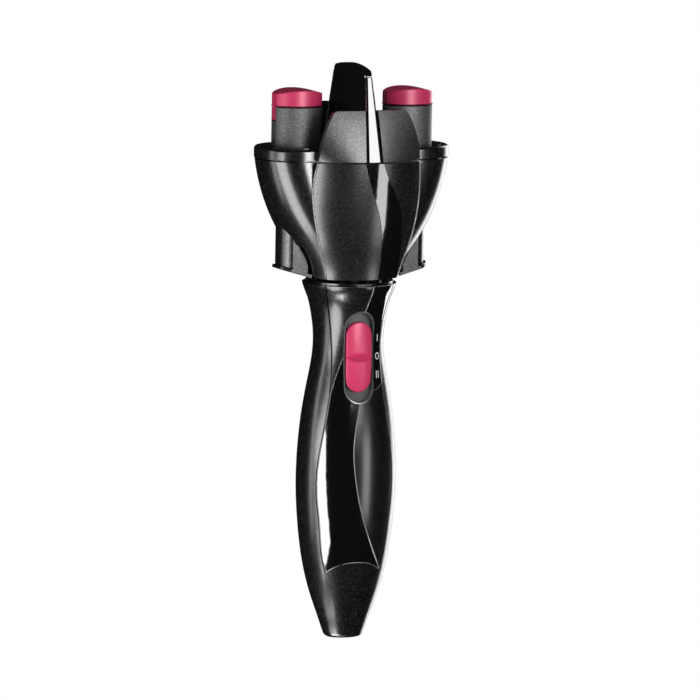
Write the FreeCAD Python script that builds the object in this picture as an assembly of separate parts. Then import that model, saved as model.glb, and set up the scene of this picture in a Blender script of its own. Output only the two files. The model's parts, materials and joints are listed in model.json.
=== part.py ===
"""Automatic hair braider, upright, in millimetres.

+Z runs up the spin axis, the front with the switch faces -Y, and the origin is the centre of the
flat end of the handle. The head turns on the neck of the handle, and two hooks turn in the head
at -X (left) and +X (right).
"""
import FreeCAD
import Part
import math
import os
from FreeCAD import Vector

os.makedirs("parts", exist_ok=True)

# ---- Fits, gaps and walls ---------------------------------------------------------------------
RUNNING_FIT = 0.05          # radial play of a shaft that turns or slides
CLEAR = 0.35                # gap between pieces that move past each other
SEAM = 0.45                 # shadow line between neighbouring mouldings
HANDLE_WALL = 2.0
HEAD_WALL = 2.2
INLAY = 1.0                 # thickness of the gloss ribbons
REACH = 60.0                # longer than any half depth, for cutting prisms
LOFT_DEGREE = 3

# ---- Handle outline: the lower sections ride on the tip, the upper ones hang from the neck ------
# Height above the tip, half width along X, half depth along Y
TIP_SECTIONS = (
    (0.0, 7.9, 6.4),
    (6.6, 10.4, 8.2),
    (15.2, 13.5, 10.4),
    (27.9, 17.25, 13.4),
    (40.7, 19.5, 15.5),
    (53.5, 20.8, 16.6),
)
# Drop below the top of the neck, half width, half depth
NECK_SECTIONS = (
    (79.6, 21.35, 17.0),
    (66.9, 20.75, 16.7),
    (54.2, 19.4, 15.7),
    (41.5, 17.2, 14.4),
    (33.0, 15.6, 13.7),
    (24.6, 14.85, 13.6),
    (17.0, 15.3, 14.4),
    (10.5, 16.4, 15.7),
    (5.0, 18.0, 17.6),
    (0.0, 19.75, 19.4),
)
TIP_ROUND = 2.6
TIP_FLOOR = 4.0

# ---- Front cover of the handle: half width at its lower heights and its upper drops -----------
COVER_LOW_EDGE = ((29.3, 11.7), (34.8, 13.4), (49.8, 15.3))
COVER_HIGH_EDGE = ((90.4, 16.4), (72.8, 16.1), (64.7, 14.9), (42.1, 11.3), (23.2, 10.8), (0.0, 14.8))
COVER_FLARE = 1.4           # the side seams open this much more in the prism above the neck
CHEVRON_RISE = 4.3
CHEVRON_SHOULDER = 0.6      # share of the half width where the chevron turns
SHOULDER_RISE = 0.75        # share of the rise reached there

# ---- Gloss ribbon on the front cover: X with its drop below the neck, or its height -----------
RIBBON_LEFT = ((3.9, 0.0), (2.0, 9.7), (-2.6, 21.8), (-6.6, 30.2), (-9.6, 38.4), (-11.4, 45.3))
RIBBON_RIGHT_LOW = ((12.4, 28.7), (4.6, 44.9))
RIBBON_RIGHT = ((0.2, 91.8), (-2.0, 79.8), (-2.8, 70.8), (-2.3, 62.8), (0.0, 49.5))
RIBBON_MARK_EDGE = ((6.3, 44.8), (11.6, 41.5))      # ends the strip that carries the marks
RIBBON_SPREAD = 12.0        # drop of the ribbon's left edge where it leaves the cover

# ---- Switch -----------------------------------------------------------------------------------
SWITCH_DROP = 30.1          # middle of the switch below the top of the neck
RECESS_WIDTH = 13.2
RECESS_LENGTH = 38.8
BEZEL_WIDTH = 0.45
FLOOR_HALF_WIDTH = 12.9     # the recess floor is an elliptic cylinder along Z
FLOOR_HALF_DEPTH = 11.6
FLOOR_THICKNESS = 1.2
SLIDER_WIDTH = 11.2
SLIDER_LENGTH = 29.4
SLIDER_HEIGHT = 3.0         # crest of the slider above the recess floor
SLIDER_END_DROP = 1.1
SLIDER_CROWN = 13.0         # radius of its crown across the width
SLIDER_EDGE = 0.7
SLIDER_NOTCH = 1.5
SLIDER_NOTCH_LENGTH = 4.2
STEM_WIDTH = 2.4
STEM_LENGTH = 4.0
STEM_REACH = 0.8            # how far the stem enters the switch body
STEM_ROOT = 0.6             # how far the stem is rooted in the slider
SWITCH_BODY_WIDTH = 7.0
SWITCH_BODY_END = 1.2
SWITCH_PLAY = 0.1

# ---- Cells, motor and gearbox -----------------------------------------------------------------
CELL_RADIUS = 7.25
CELL_LENGTH = 49.2
CELL_NUB_RADIUS = 2.75
CELL_NUB_LENGTH = 1.3
CELL_Z = 35.0
CELL_PITCH = 14.9
TRAY_FLOOR = 1.4
TRAY_CRADLE = 0.6           # height of the tray's sides behind the cell axes, in cell radii
CONTACT_THICKNESS = 0.4
CONTACT_RADIUS = 5.75
CELL_SPRING_RADIUS = 3.75
SPRING_WIRE = 0.4
SPRING_ALLOWANCE = 3.4
CELL_SPRING_TURNS = 2.5
CELL_PLAY = 0.1
TRAY_PLAY = 0.2
HATCH_HALF_WIDTH = 13.0
HATCH_BELOW = 2.8           # the hatch runs this far past the tray, below and above
HATCH_ABOVE = 4.7
MOTOR_WIDTH = 20.0
MOTOR_DEPTH = 15.0
MOTOR_LENGTH = 25.0
MOTOR_CAP = 1.6
MOTOR_TAB = 2.6
MOTOR_TAB_X = 6.5
GEARBOX_RADIUS = 7.9
GEARBOX_LENGTH = 18.5
GEARBOX_GAP = 2.65          # from the gearbox to the lower end of the head spindle
DRIVE_ENTRY = 6.0           # how far the drive shaft reaches into the gearbox
BRACKET_DEPTH = 5.0
BRACKET_DROP = 1.0          # from the top of the motor to the top of its bracket
BOARD_THICKNESS = 1.0
BOARD_GAP = 0.2
BOARD_WIDTH = 10.0
BOARD_LENGTH = 40.0
BOARD_RISE = 18.0           # top of the board above the middle of the switch
SCREW_RADIUS = 1.25
SCREW_HEAD_RADIUS = 2.3
SCREW_HEAD_LENGTH = 1.6
LOW_HEAD_LENGTH = 0.95      # heads of the screws in the gear plate
SCREW_SLOT = 0.6
SCREW_TIP = 1.0             # room left in the hole past the tip of a screw
BOSS_RADIUS = 2.9
LOWER_SCREW_Z = 19.5
LEAD_RADIUS = 0.6
TAB_HALF_WIDTH = 1.0
TAB_THICKNESS = 0.4

# ---- Neck bearing and spindle -----------------------------------------------------------------
SPINDLE_RADIUS = 8.0
SPINDLE_BORE = 3.5
BEARING_RADIUS = 11.0
BEARING_LENGTH = 7.0
BEARING_RISE = 0.9          # top of the bearing above the top of the neck
COLLAR_RADIUS = 18.3
COLLAR_RISE = 1.0
COLLAR_PLAY = 0.15
SPINDLE_FLANGE = 12.8
CLIP_GROOVE = 0.8
CLIP_MOUTH = 3.0            # half width of the opening of the spindle's clip
NECK_GAP = 2.9              # from the top of the handle to the underside of the head

# ---- Gears: all teeth share one module --------------------------------------------------------
MODULE = 1.0
HOOK_TEETH = 24
SUN_TEETH = 25
PRESSURE_ANGLE = math.radians(20.0)
BACKLASH = 0.2
GEAR_THICKNESS = 6.0
HOOK_X = MODULE * (HOOK_TEETH + SUN_TEETH) / 2
DRIVE_RADIUS = 2.0
GEAR_CLEARANCE = 2.0        # from the gears to the underside of the top cover

# ---- Head: height above the head's underside, lobe centre along X, lobe radius ----------------
HEAD_SECTIONS = (
    (0.0, 2.0, 19.0),
    (8.6, 5.6, 19.2),
    (20.6, 13.4, 18.7),
    (37.7, 21.4, 17.85),
    (49.0, HOOK_X, 17.2),
)
HEAD_HEIGHT = HEAD_SECTIONS[-1][0]
LOBE_RADIUS = HEAD_SECTIONS[-1][2]

# Petals: height above the head's underside, half width of the plate, and the ellipse of its face
PETAL_SECTIONS = (
    (0.0, 15.4, 23.1, 19.9),
    (7.9, 17.7, 26.5, 21.2),
    (14.3, 19.6, 29.7, 22.6),
    (24.6, 22.1, 31.9, 24.5),
    (HEAD_HEIGHT, 22.3, 33.5, 27.5),
)
PETAL_WALL = 2.2
HEAD_RIBBON_LEFT = ((5.5, 0.6), (5.9, 6.3), (5.7, 14.5), (4.9, 21.8), (1.15, 34.0), (-3.7, HEAD_HEIGHT))
HEAD_RIBBON_RIGHT = ((14.7, 0.5), (15.6, 5.5), (15.2, 13.9), (13.6, 28.9), (9.0, 38.2), (4.0, HEAD_HEIGHT))
RIBBON_SEAM = 0.12

# ---- Top cover, shields and fin ---------------------------------------------------------------
SPLIT_GAP = 0.7             # shadow line under the top cover
RIM_HEIGHT = 4.7
RIM_PROUD = 0.3
RIM_ROUND = 1.3
DECK_THICKNESS = 2.5
LIP_DEPTH = 1.5             # the cover's locating lip reaches this far into the head
LIP_WALL = 1.4
LIP_PLAY = 0.2
DISC_RADIUS = 14.5
DISC_THICKNESS = 2.0
SHIELD_SECTIONS = (
    (0.0, 22.3, 33.5, 27.5),
    (7.0, 21.2, 40.7, 26.0),
    (15.9, 18.3, 47.0, 24.0),
    (20.8, 15.6, 50.7, 22.7),
)
SHIELD_HEIGHT = SHIELD_SECTIONS[-1][0]
SHIELD_WALL = 2.8
SHIELD_CORNER = 3.0
SHIELD_WEB = 2.7            # height of the foot that ties a shield to the top cover
FIN_FOOT_SKIN = 2.0
# Fin: height above the top cover's underside, half thickness, half depth
FIN_SECTIONS = ((0.0, 3.3, 27.3), (21.4, 2.3, 22.2), (35.1, 1.6, 18.9), (38.65, 1.5, 18.0))
FIN_CROWN = 1.5             # fall of the fin's top edge from its middle to its corners
FIN_CORNER = 3.0
FIN_EDGE = 1.0              # rounding down the front and back edges

# ---- Hooks ------------------------------------------------------------------------------------
POST_HALF_WIDTH = 10.65
POST_HALF_DEPTH = 8.5
POST_FLAT = 10.1            # the ellipse of the post is cut off flat at this half width
POST_HEIGHT = 15.95
CAP_GAP = 0.6               # shadow line between a post and its cap
CAP_HEIGHT = 6.8
CAP_CROWN = 1.6
CAP_EDGE = 0.5
CAP_LEG_DROP = 5.5
CAP_LEG_THICKNESS = 1.0
CAP_LEG_HALF_WIDTH = 2.0     # the leg lies in a channel of the post's flat end
CAP_LEG_ROOT = 1.0
ROD_REACH = 0.6             # share of the cap's height that the rod enters
HOOK_SPINDLE_RADIUS = 4.0
HOOK_ROD_RADIUS = 2.5
HOOK_LIFT = 8.0
BUSH_WALL = 1.5
PLATE_THICKNESS = 2.0
CLIP_THICKNESS = 1.0
CLIP_WALL = 2.2
CLIP_PLAY = 0.1
HOOK_CLIP_GROOVE = 0.6
HOOK_CLIP_MOUTH = 1.2
SPRING_SPACE = 5.0          # length of the return spring when the hook is fully lifted

# ---- Push tubes under the lobes ---------------------------------------------------------------
TUBE_RADIUS = 8.0
TUBE_FLAT = 7.3
TUBE_WALL = 1.5
TUBE_ROOF = 2.0
TUBE_TOP = 24.5             # height of the roof's top face above the head's underside
LIP_RADIUS = 9.6
LIP_PROUD = 1.0             # the lip stands out this far past the flats of the tube
LIP_THICKNESS = 1.3
LIP_TILT = 16.0
LIP_HEIGHT = 1.3            # middle of the lip above the head's underside
POCKET_WALL = 1.5
RETURN_COIL_RADIUS = 5.0
RETURN_WIRE = 0.45
RETURN_TURNS = 4

# ---- One-way clutch ---------------------------------------------------------------------------
RATCHET_RADIUS = 7.0
RATCHET_TOOTH = 1.2
RATCHET_TEETH = 12
RATCHET_THICKNESS = 3.0
RATCHET_GAP = 1.5           # from the spindle's flange to the ratchet wheel
PAWL_LENGTH = 7.0
PAWL_WIDTH = 1.8
PAWL_EYE = 1.8
PAWL_PIN = 1.0
PAWL_PIN_RISE = 0.8
SHAFT_RISE = 1.0            # the drive shaft stands this far above the gears

# ---- Gear plate -------------------------------------------------------------------------------
PLATE_SCREW_X = 10.4
PLATE_SCREW_Y = 12.6
PLATE_SCREW_DEPTH = 5.0
PLATE_PLAY = 0.05
BEYOND = 5.0                # how far cutting shapes run past the faces they cut

# ---- Heights that follow from the stack of cells, motor and gearbox ---------------------------
cell_top = CELL_Z + CELL_LENGTH
cell_end = cell_top + CELL_NUB_LENGTH
tray_low = CELL_Z - SPRING_ALLOWANCE - CONTACT_THICKNESS - TRAY_FLOOR
tray_high = cell_end + CONTACT_THICKNESS + TRAY_FLOOR
hatch_low = tray_low - HATCH_BELOW
hatch_high = tray_high + HATCH_ABOVE
upper_screw_z = tray_high + CLEAR + BOSS_RADIUS
motor_low = upper_screw_z + BOSS_RADIUS + CLEAR + MOTOR_CAP
motor_high = motor_low + MOTOR_LENGTH
gearbox_high = motor_high + GEARBOX_LENGTH
spindle_low = gearbox_high + GEARBOX_GAP
clip_high = spindle_low + 2 * CLIP_THICKNESS
bearing_low = clip_high + CLEAR
bearing_high = bearing_low + BEARING_LENGTH
NECK_TOP = bearing_high - BEARING_RISE
HEAD_BASE = NECK_TOP + NECK_GAP
SWITCH_Z = NECK_TOP - SWITCH_DROP
SLIDER_TRAVEL = (RECESS_LENGTH - 2 * BEZEL_WIDTH - SLIDER_LENGTH) / 2 - CLEAR
HANDLE_SECTIONS = TIP_SECTIONS + tuple(
    (NECK_TOP - drop, width, depth) for drop, width, depth in NECK_SECTIONS)

AXIS = Vector(0, 0, 1)
ORIGIN = Vector(0, 0, 0)
built = {}


def keep(name, shape):
    """Store one node's shape under its name; it is written to parts/ at the end."""
    built[name] = shape


def cylinder(radius, low, high, x=0.0, y=0.0):
    return Part.makeCylinder(radius, high - low, Vector(x, y, low))


def ring(outer, inner, low, high, x=0.0, y=0.0):
    return cylinder(outer, low, high, x, y).cut(cylinder(inner, low - 1, high + 1, x, y))


def block(x_low, x_high, y_low, y_high, z_low, z_high):
    corner = Vector(x_low, y_low, z_low)
    return Part.makeBox(x_high - x_low, y_high - y_low, z_high - z_low, corner)


def ellipse_wire(half_width, half_depth, height):
    return Part.Wire(Part.Ellipse(Vector(0, 0, height), half_width, half_depth).toShape())


def curve(points):
    """A smooth edge through points in the XZ plane, given as (x, height)."""
    spline = Part.BSplineCurve()
    spline.interpolate([Vector(x, 0, z) for x, z in points])
    return spline.toShape()


def line(start, end):
    return Part.makeLine(Vector(start[0], 0, start[1]), Vector(end[0], 0, end[1]))


def closed_face(edges):
    """Flat face inside a closed run of edges, given in any order."""
    return Part.Face(Part.Wire(Part.__sortEdges__(edges)))


def front_prism(edges):
    """Everything in front of the XZ plane behind a closed outline in that plane."""
    return closed_face(edges).extrude(Vector(0, -REACH, 0))


def turned(shape, degrees, centre=ORIGIN, axis=AXIS):
    copy = shape.copy()
    copy.rotate(centre, axis, degrees)
    return copy


def moved(shape, x=0.0, y=0.0, z=0.0):
    copy = shape.copy()
    copy.translate(Vector(x, y, z))
    return copy


def between(sections, height, column):
    """Value of one column of a section list, straight between its two nearest sections."""
    for lower, upper in zip(sections, sections[1:]):
        if height <= upper[0]:
            share = (height - lower[0]) / (upper[0] - lower[0])
            return lower[column] + share * (upper[column] - lower[column])
    return sections[-1][column]


def loft(wires):
    return Part.makeLoft(wires, True, False, False, LOFT_DEGREE)


def coil(radius, wire, low, high, turns, x=0.0):
    """Helical spring along Z whose outer faces lie at low and high."""
    height = high - low - 2 * wire
    path = Part.Wire(Part.makeLongHelix(height / turns, height, radius))
    circle = Part.Circle(Vector(radius, 0, 0), Vector(0, 1, 0), wire)
    spring = path.makePipeShell([Part.Wire(circle.toShape())], True, True)
    return moved(spring, x, 0, low + wire)


def fused(shapes):
    whole = shapes[0]
    for shape in shapes[1:]:
        whole = whole.fuse(shape)
    return whole.removeSplitter()


# ---- Handle -----------------------------------------------------------------------------------
def handle_volume(inset):
    """The handle's outline, pulled in by inset, from the tip to the top of the neck."""
    wires = [ellipse_wire(a - inset, b - inset, z) for z, a, b in HANDLE_SECTIONS]
    return loft(wires)


def rounded_handle():
    volume = handle_volume(0.0)
    tip_edges = [edge for edge in volume.Edges if edge.BoundBox.ZMax < 0.01]
    return volume.makeFillet(TIP_ROUND, tip_edges)


def cover_region(grow):
    """Prism of the front cover: two side seams, a chevron below, open past the top."""
    low, low_width = COVER_LOW_EDGE[0]
    top = NECK_TOP + BEYOND
    side = [(width + grow, z) for z, width in COVER_LOW_EDGE]
    side += [(width + grow, NECK_TOP - drop) for drop, width in COVER_HIGH_EDGE]
    side[0] = (low_width + grow, low - grow)
    side.append((side[-1][0] + COVER_FLARE, top))
    right = curve(side)
    left = curve([(-x, z) for x, z in side])
    shoulder = CHEVRON_SHOULDER * low_width
    chevron = curve([
        (-side[0][0], low - grow),
        (-shoulder, low + SHOULDER_RISE * CHEVRON_RISE - grow),
        (0, low + CHEVRON_RISE - grow),
        (shoulder, low + SHOULDER_RISE * CHEVRON_RISE - grow),
        (side[0][0], low - grow),
    ])
    return front_prism([left, right, line((-side[-1][0], top), (side[-1][0], top)), chevron])


def stadium_region(width, length, height):
    """Prism in front of the XZ plane behind an upright stadium centred at the given height."""
    radius = width / 2
    reach = length / 2 - radius
    right = line((radius, height - reach), (radius, height + reach))
    left = line((-radius, height + reach), (-radius, height - reach))
    arcs = []
    for sign in (1, -1):
        start = Vector(sign * radius, 0, height + sign * reach)
        crest = Vector(0, 0, height + sign * (reach + radius))
        end = Vector(-sign * radius, 0, height + sign * reach)
        arcs.append(Part.Arc(start, crest, end).toShape())
    return front_prism([right, arcs[0], left, arcs[1]])


def handle_ribbon_region():
    """Prism of the S-shaped gloss inlay; it runs past the cover's seams on both sides."""
    outside = REACH / 2
    top = NECK_TOP + BEYOND
    left = [(x, NECK_TOP - drop) for x, drop in RIBBON_LEFT]
    right = list(RIBBON_RIGHT_LOW) + [(x, NECK_TOP - drop) for x, drop in RIBBON_RIGHT]
    mark_inner, mark_outer = [(x, NECK_TOP - drop) for x, drop in RIBBON_MARK_EDGE]
    corners = [
        left[-1],
        (-outside, left[-1][1] - RIBBON_SPREAD),
        (-outside, -BEYOND),
        (right[0][0], -BEYOND),
        right[0],
    ]
    after = [right[-1], mark_inner, mark_outer, (outside, mark_outer[1] + BEYOND), (outside, top)]
    after += [(left[0][0], top), left[0]]
    edges = [curve(left), curve(right)]
    for run in (corners, after):
        edges += [line(start, end) for start, end in zip(run, run[1:])]
    return front_prism(edges)


def screw(x, z, head_y, tip_y):
    """Screw along Y with its head at head_y, entered from the back."""
    shank = Part.makeCylinder(SCREW_RADIUS, head_y - tip_y, Vector(x, tip_y, z), Vector(0, 1, 0))
    head = Part.makeCylinder(
        SCREW_HEAD_RADIUS, SCREW_HEAD_LENGTH, Vector(x, head_y, z), Vector(0, 1, 0))
    slot = block(
        x - SCREW_HEAD_RADIUS, x + SCREW_HEAD_RADIUS, head_y + SCREW_HEAD_LENGTH / 2,
        head_y + 2 * SCREW_HEAD_LENGTH, z - SCREW_SLOT / 2, z + SCREW_SLOT / 2)
    return shank.fuse(head).cut(slot)


outer = rounded_handle()
lining = handle_volume(HANDLE_WALL)
cavity = lining.cut(block(-REACH, REACH, -REACH, REACH, -BEYOND, TIP_FLOOR))
shell = outer.cut(cavity)
skin = outer.cut(handle_volume(INLAY))
recess = stadium_region(RECESS_WIDTH, RECESS_LENGTH, SWITCH_Z)
recess_inside = stadium_region(
    RECESS_WIDTH - 2 * BEZEL_WIDTH, RECESS_LENGTH - 2 * BEZEL_WIDTH, SWITCH_Z)

cover_blank = shell.common(cover_region(0.0)).cut(recess)
ribbon = skin.common(cover_region(0.0)).common(handle_ribbon_region()).cut(recess)
keep("handle_ribbon", ribbon)
front_shell = cover_blank.cut(ribbon)

hatch_prism = block(-HATCH_HALF_WIDTH, HATCH_HALF_WIDTH, 0, REACH, hatch_low, hatch_high)
hatch_opening = block(
    -HATCH_HALF_WIDTH - CLEAR, HATCH_HALF_WIDTH + CLEAR, 0, REACH,
    hatch_low - CLEAR, hatch_high + CLEAR)
keep("battery_cover", shell.common(hatch_prism))
rear_shell = shell.cut(cover_region(SEAM)).cut(hatch_opening)

# Two screws tie the halves together: one near the tip, one between the cells and the motor.
screws = []
for screw_z in (LOWER_SCREW_Z, upper_screw_z):
    depth = between(HANDLE_SECTIONS, screw_z, 2)
    boss = Part.makeCylinder(BOSS_RADIUS, 2 * depth, Vector(0, -depth, screw_z), Vector(0, 1, 0))
    boss = boss.common(lining)
    hole = Part.makeCylinder(SCREW_RADIUS, 2 * depth, Vector(0, -depth / 2, screw_z), Vector(0, 1, 0))
    head_y = depth - SCREW_HEAD_LENGTH
    if screw_z > hatch_low:
        head_y = depth - HANDLE_WALL - SCREW_HEAD_LENGTH - CLEAR
    counterbore = Part.makeCylinder(
        SCREW_HEAD_RADIUS, depth, Vector(0, head_y, screw_z), Vector(0, 1, 0))
    rear_boss = boss.common(block(-REACH, REACH, 0, REACH, 0, NECK_TOP))
    front_boss = boss.common(block(-REACH, REACH, -REACH, 0, 0, NECK_TOP))
    if screw_z > hatch_low:
        # this boss hangs from a bridge across the battery opening
        bridge = lining.common(block(
            -REACH, REACH, head_y - 2 * SCREW_HEAD_LENGTH, head_y + SCREW_HEAD_LENGTH,
            screw_z - BOSS_RADIUS, screw_z + BOSS_RADIUS))
        rear_shell = rear_shell.fuse(bridge)
        rear_boss = rear_boss.common(block(-REACH, REACH, 0, head_y, 0, NECK_TOP))
        front_shell = front_shell.fuse(front_boss)
    else:
        # below the cover's chevron both ends stand on the wrapped tip
        rear_boss = boss
    rear_shell = rear_shell.fuse(rear_boss)
    rear_shell = rear_shell.cut(hole).cut(counterbore)
    front_shell = front_shell.cut(hole)
    screws.append(screw(0.0, screw_z, head_y, SCREW_TIP - depth / 2))
keep("shell_screws", Part.makeCompound(screws))

# Bezel and floor of the switch recess.
def oval_column(offset):
    """Elliptic column behind the recess, its face moved out from the recess floor by offset."""
    oval = ellipse_wire(
        FLOOR_HALF_WIDTH + offset, FLOOR_HALF_DEPTH + offset, SWITCH_Z - RECESS_LENGTH)
    return Part.Face(oval).extrude(Vector(0, 0, 2 * RECESS_LENGTH))


floor_outer = oval_column(0.0)
floor_inner = oval_column(-FLOOR_THICKNESS)
stem_slot = block(
    -STEM_WIDTH / 2 - CLEAR, STEM_WIDTH / 2 + CLEAR, -REACH, 0,
    SWITCH_Z - STEM_LENGTH / 2 - SLIDER_TRAVEL - CLEAR,
    SWITCH_Z + STEM_LENGTH / 2 + SLIDER_TRAVEL + CLEAR)
switch_frame = outer.common(recess.cut(recess_inside)).cut(floor_inner)
keep("switch_bezel", switch_frame.cut(floor_outer))
keep("switch_plate", floor_outer.cut(floor_inner).common(recess).cut(stem_slot))

# Thumb slider: a pillow crowned both ways, with a V notch across it, on a stem through the floor.
slider_top = FLOOR_HALF_DEPTH + SLIDER_HEIGHT
half = SLIDER_LENGTH / 2
long_radius = (half ** 2 + SLIDER_END_DROP ** 2) / (2 * SLIDER_END_DROP)
pillow = Part.makeTorus(        # a whole ring, with its seam turned to the inner side
    long_radius - SLIDER_CROWN, SLIDER_CROWN, Vector(0, long_radius - slider_top, SWITCH_Z),
    Vector(1, 0, 0), -180, 180)
slider = stadium_region(SLIDER_WIDTH, SLIDER_LENGTH, SWITCH_Z).common(pillow)
slider = slider.cut(oval_column(CLEAR))
crest_edges = [
    edge for edge in slider.Edges
    if edge.BoundBox.YMax < -slider_top + SLIDER_HEIGHT - CLEAR - SLIDER_EDGE]
slider = slider.makeFillet(SLIDER_EDGE, crest_edges)
notch = closed_face([
    Part.makeLine(Vector(0, start_y, start_z), Vector(0, end_y, end_z))
    for (start_y, start_z), (end_y, end_z) in (
        ((-slider_top, -SLIDER_NOTCH_LENGTH / 2), (SLIDER_NOTCH - slider_top, 0)),
        ((SLIDER_NOTCH - slider_top, 0), (-slider_top, SLIDER_NOTCH_LENGTH / 2)),
        ((-slider_top, SLIDER_NOTCH_LENGTH / 2), (-slider_top, -SLIDER_NOTCH_LENGTH / 2)))])
notch = moved(notch.extrude(Vector(2 * SLIDER_WIDTH, 0, 0)), -SLIDER_WIDTH, 0, SWITCH_Z)
slider = slider.cut(notch)
board_face = GEARBOX_RADIUS + BOARD_GAP + BOARD_THICKNESS
stem_tip = FLOOR_HALF_DEPTH - FLOOR_THICKNESS - STEM_REACH
stem = block(
    -STEM_WIDTH / 2, STEM_WIDTH / 2, -FLOOR_HALF_DEPTH - CLEAR - STEM_ROOT, -stem_tip,
    SWITCH_Z - STEM_LENGTH / 2, SWITCH_Z + STEM_LENGTH / 2)
keep("switch_slider", slider.fuse(stem))

# Slide switch and board behind the recess.
body_half = STEM_LENGTH / 2 + SLIDER_TRAVEL + SWITCH_BODY_END
switch_body = block(
    -SWITCH_BODY_WIDTH / 2, SWITCH_BODY_WIDTH / 2, -REACH, -board_face,
    SWITCH_Z - body_half, SWITCH_Z + body_half)
switch_body = switch_body.common(oval_column(-FLOOR_THICKNESS - SWITCH_PLAY))
stem_room = stem_slot.common(block(-REACH, REACH, -REACH, CLEAR - stem_tip, 0, NECK_TOP))
keep("slide_switch_body", switch_body.cut(stem_room))
board_high = SWITCH_Z + BOARD_RISE
board_low = board_high - BOARD_LENGTH
keep("circuit_board", block(
    -BOARD_WIDTH / 2, BOARD_WIDTH / 2, -board_face, -board_face + BOARD_THICKNESS,
    board_low, board_high))

# Cells lie side by side in a tray, contact plates at both ends.
tray_fit = handle_volume(HANDLE_WALL + TRAY_PLAY)
tray = tray_fit.common(block(
    -REACH, REACH, -CELL_RADIUS - TRAY_FLOOR, TRAY_CRADLE * CELL_RADIUS, tray_low, tray_high))
bay_half_width = CELL_PITCH / 2 + CELL_RADIUS + CELL_PLAY
bay_front = -CELL_RADIUS - CELL_PLAY
tray = tray.cut(block(
    -bay_half_width, bay_half_width, bay_front, REACH, tray_low + TRAY_FLOOR, tray_high - TRAY_FLOOR))
rib_half_width = CELL_PITCH / 2 - CELL_RADIUS - CELL_PLAY / 2
tray = tray.fuse(block(
    -rib_half_width, rib_half_width, bay_front, -CELL_RADIUS / 2, CELL_Z, cell_top))
keep("battery_tray", tray)
contact_low = tray_low + TRAY_FLOOR
middle = (contact_low + CONTACT_THICKNESS + cell_end) / 2
cell_x = CELL_PITCH / 2
cell = cylinder(CELL_RADIUS, CELL_Z, cell_top, cell_x).fuse(
    cylinder(CELL_NUB_RADIUS, cell_top, cell_end, cell_x))
cell_spring = coil(
    CELL_SPRING_RADIUS, SPRING_WIRE, contact_low + CONTACT_THICKNESS, CELL_Z, CELL_SPRING_TURNS, cell_x)
plates = [
    cylinder(CONTACT_RADIUS, cell_end, cell_end + CONTACT_THICKNESS, cell_x),
    cylinder(CONTACT_RADIUS, contact_low, contact_low + CONTACT_THICKNESS, cell_x),
]
pivot = Vector(0, 0, middle)
keep("battery_cell_right", cell)
keep("battery_cell_left", turned(cell, 180, pivot, Vector(0, 1, 0)))
keep("battery_springs", Part.makeCompound([
    cell_spring, turned(cell_spring, 180, pivot, Vector(0, 1, 0))]))
keep("battery_contacts", Part.makeCompound(
    plates + [turned(plate, 180, pivot, Vector(0, 1, 0)) for plate in plates]))

# Motor, bracket and gearbox stand in line above the cells.
barrel = cylinder(MOTOR_WIDTH / 2, motor_low, motor_high)
flats = block(-REACH, REACH, -MOTOR_DEPTH / 2, MOTOR_DEPTH / 2, 0, NECK_TOP)
motor_can = barrel.common(flats)
end_cap = cylinder(MOTOR_WIDTH / 2 - CLEAR, motor_low - MOTOR_CAP, motor_low).common(flats)
tab_high = motor_low - MOTOR_CAP
tab_low = tab_high - MOTOR_TAB
tabs = [
    block(x - TAB_HALF_WIDTH, x + TAB_HALF_WIDTH, -TAB_THICKNESS / 2, TAB_THICKNESS / 2, tab_low, tab_high)
    for x in (-MOTOR_TAB_X, MOTOR_TAB_X)]
keep("motor", fused([motor_can, end_cap] + tabs))
gearbox = cylinder(GEARBOX_RADIUS, motor_high, gearbox_high)
drive_low = gearbox_high - DRIVE_ENTRY
keep("gearbox", gearbox.cut(cylinder(DRIVE_RADIUS + CLEAR, drive_low - CLEAR, gearbox_high + 1)))
saddle_high = motor_high - BRACKET_DROP
saddle = tray_fit.common(block(
    -REACH, REACH, -MOTOR_DEPTH / 2, REACH, saddle_high - BRACKET_DEPTH, saddle_high))
saddle = saddle.cut(cylinder(MOTOR_WIDTH / 2, 0, NECK_TOP).common(flats))
keep("motor_bracket", saddle)

# Wires from the cell contacts and the board to the motor tabs.
keep("leads", Part.makeCompound([
    cylinder(LEAD_RADIUS, tray_high, tab_low, x) for x in (-MOTOR_TAB_X, MOTOR_TAB_X)]))

# ---- Neck: collar, bearing, hollow spindle of the head and its clip ----------------------------
collar_plug = handle_volume(HANDLE_WALL + COLLAR_PLAY).common(block(
    -REACH, REACH, -REACH, REACH, bearing_low, NECK_TOP))
collar = collar_plug.fuse(cylinder(COLLAR_RADIUS, NECK_TOP, NECK_TOP + COLLAR_RISE)).removeSplitter()
collar = collar.cut(cylinder(BEARING_RADIUS, 0, HEAD_BASE))
keep("neck_collar", collar)
keep("neck_bearing", ring(BEARING_RADIUS, SPINDLE_RADIUS + RUNNING_FIT, bearing_low, bearing_high))
head_floor = HEAD_BASE + HEAD_WALL
spindle = cylinder(SPINDLE_RADIUS, spindle_low, head_floor).fuse(
    cylinder(SPINDLE_FLANGE, head_floor, head_floor + PLATE_THICKNESS))
spindle = spindle.cut(cylinder(SPINDLE_BORE, 0, 2 * NECK_TOP))
spindle_clip = ring(
    SPINDLE_RADIUS + CLIP_WALL, SPINDLE_RADIUS - CLIP_GROOVE, clip_high - CLIP_THICKNESS, clip_high)
spindle = spindle.cut(spindle_clip)
keep("spindle_clip", spindle_clip.cut(block(0, REACH, -CLIP_MOUTH, CLIP_MOUTH, 0, NECK_TOP)))

keep("rear_shell", rear_shell)
keep("front_shell", front_shell)


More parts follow.
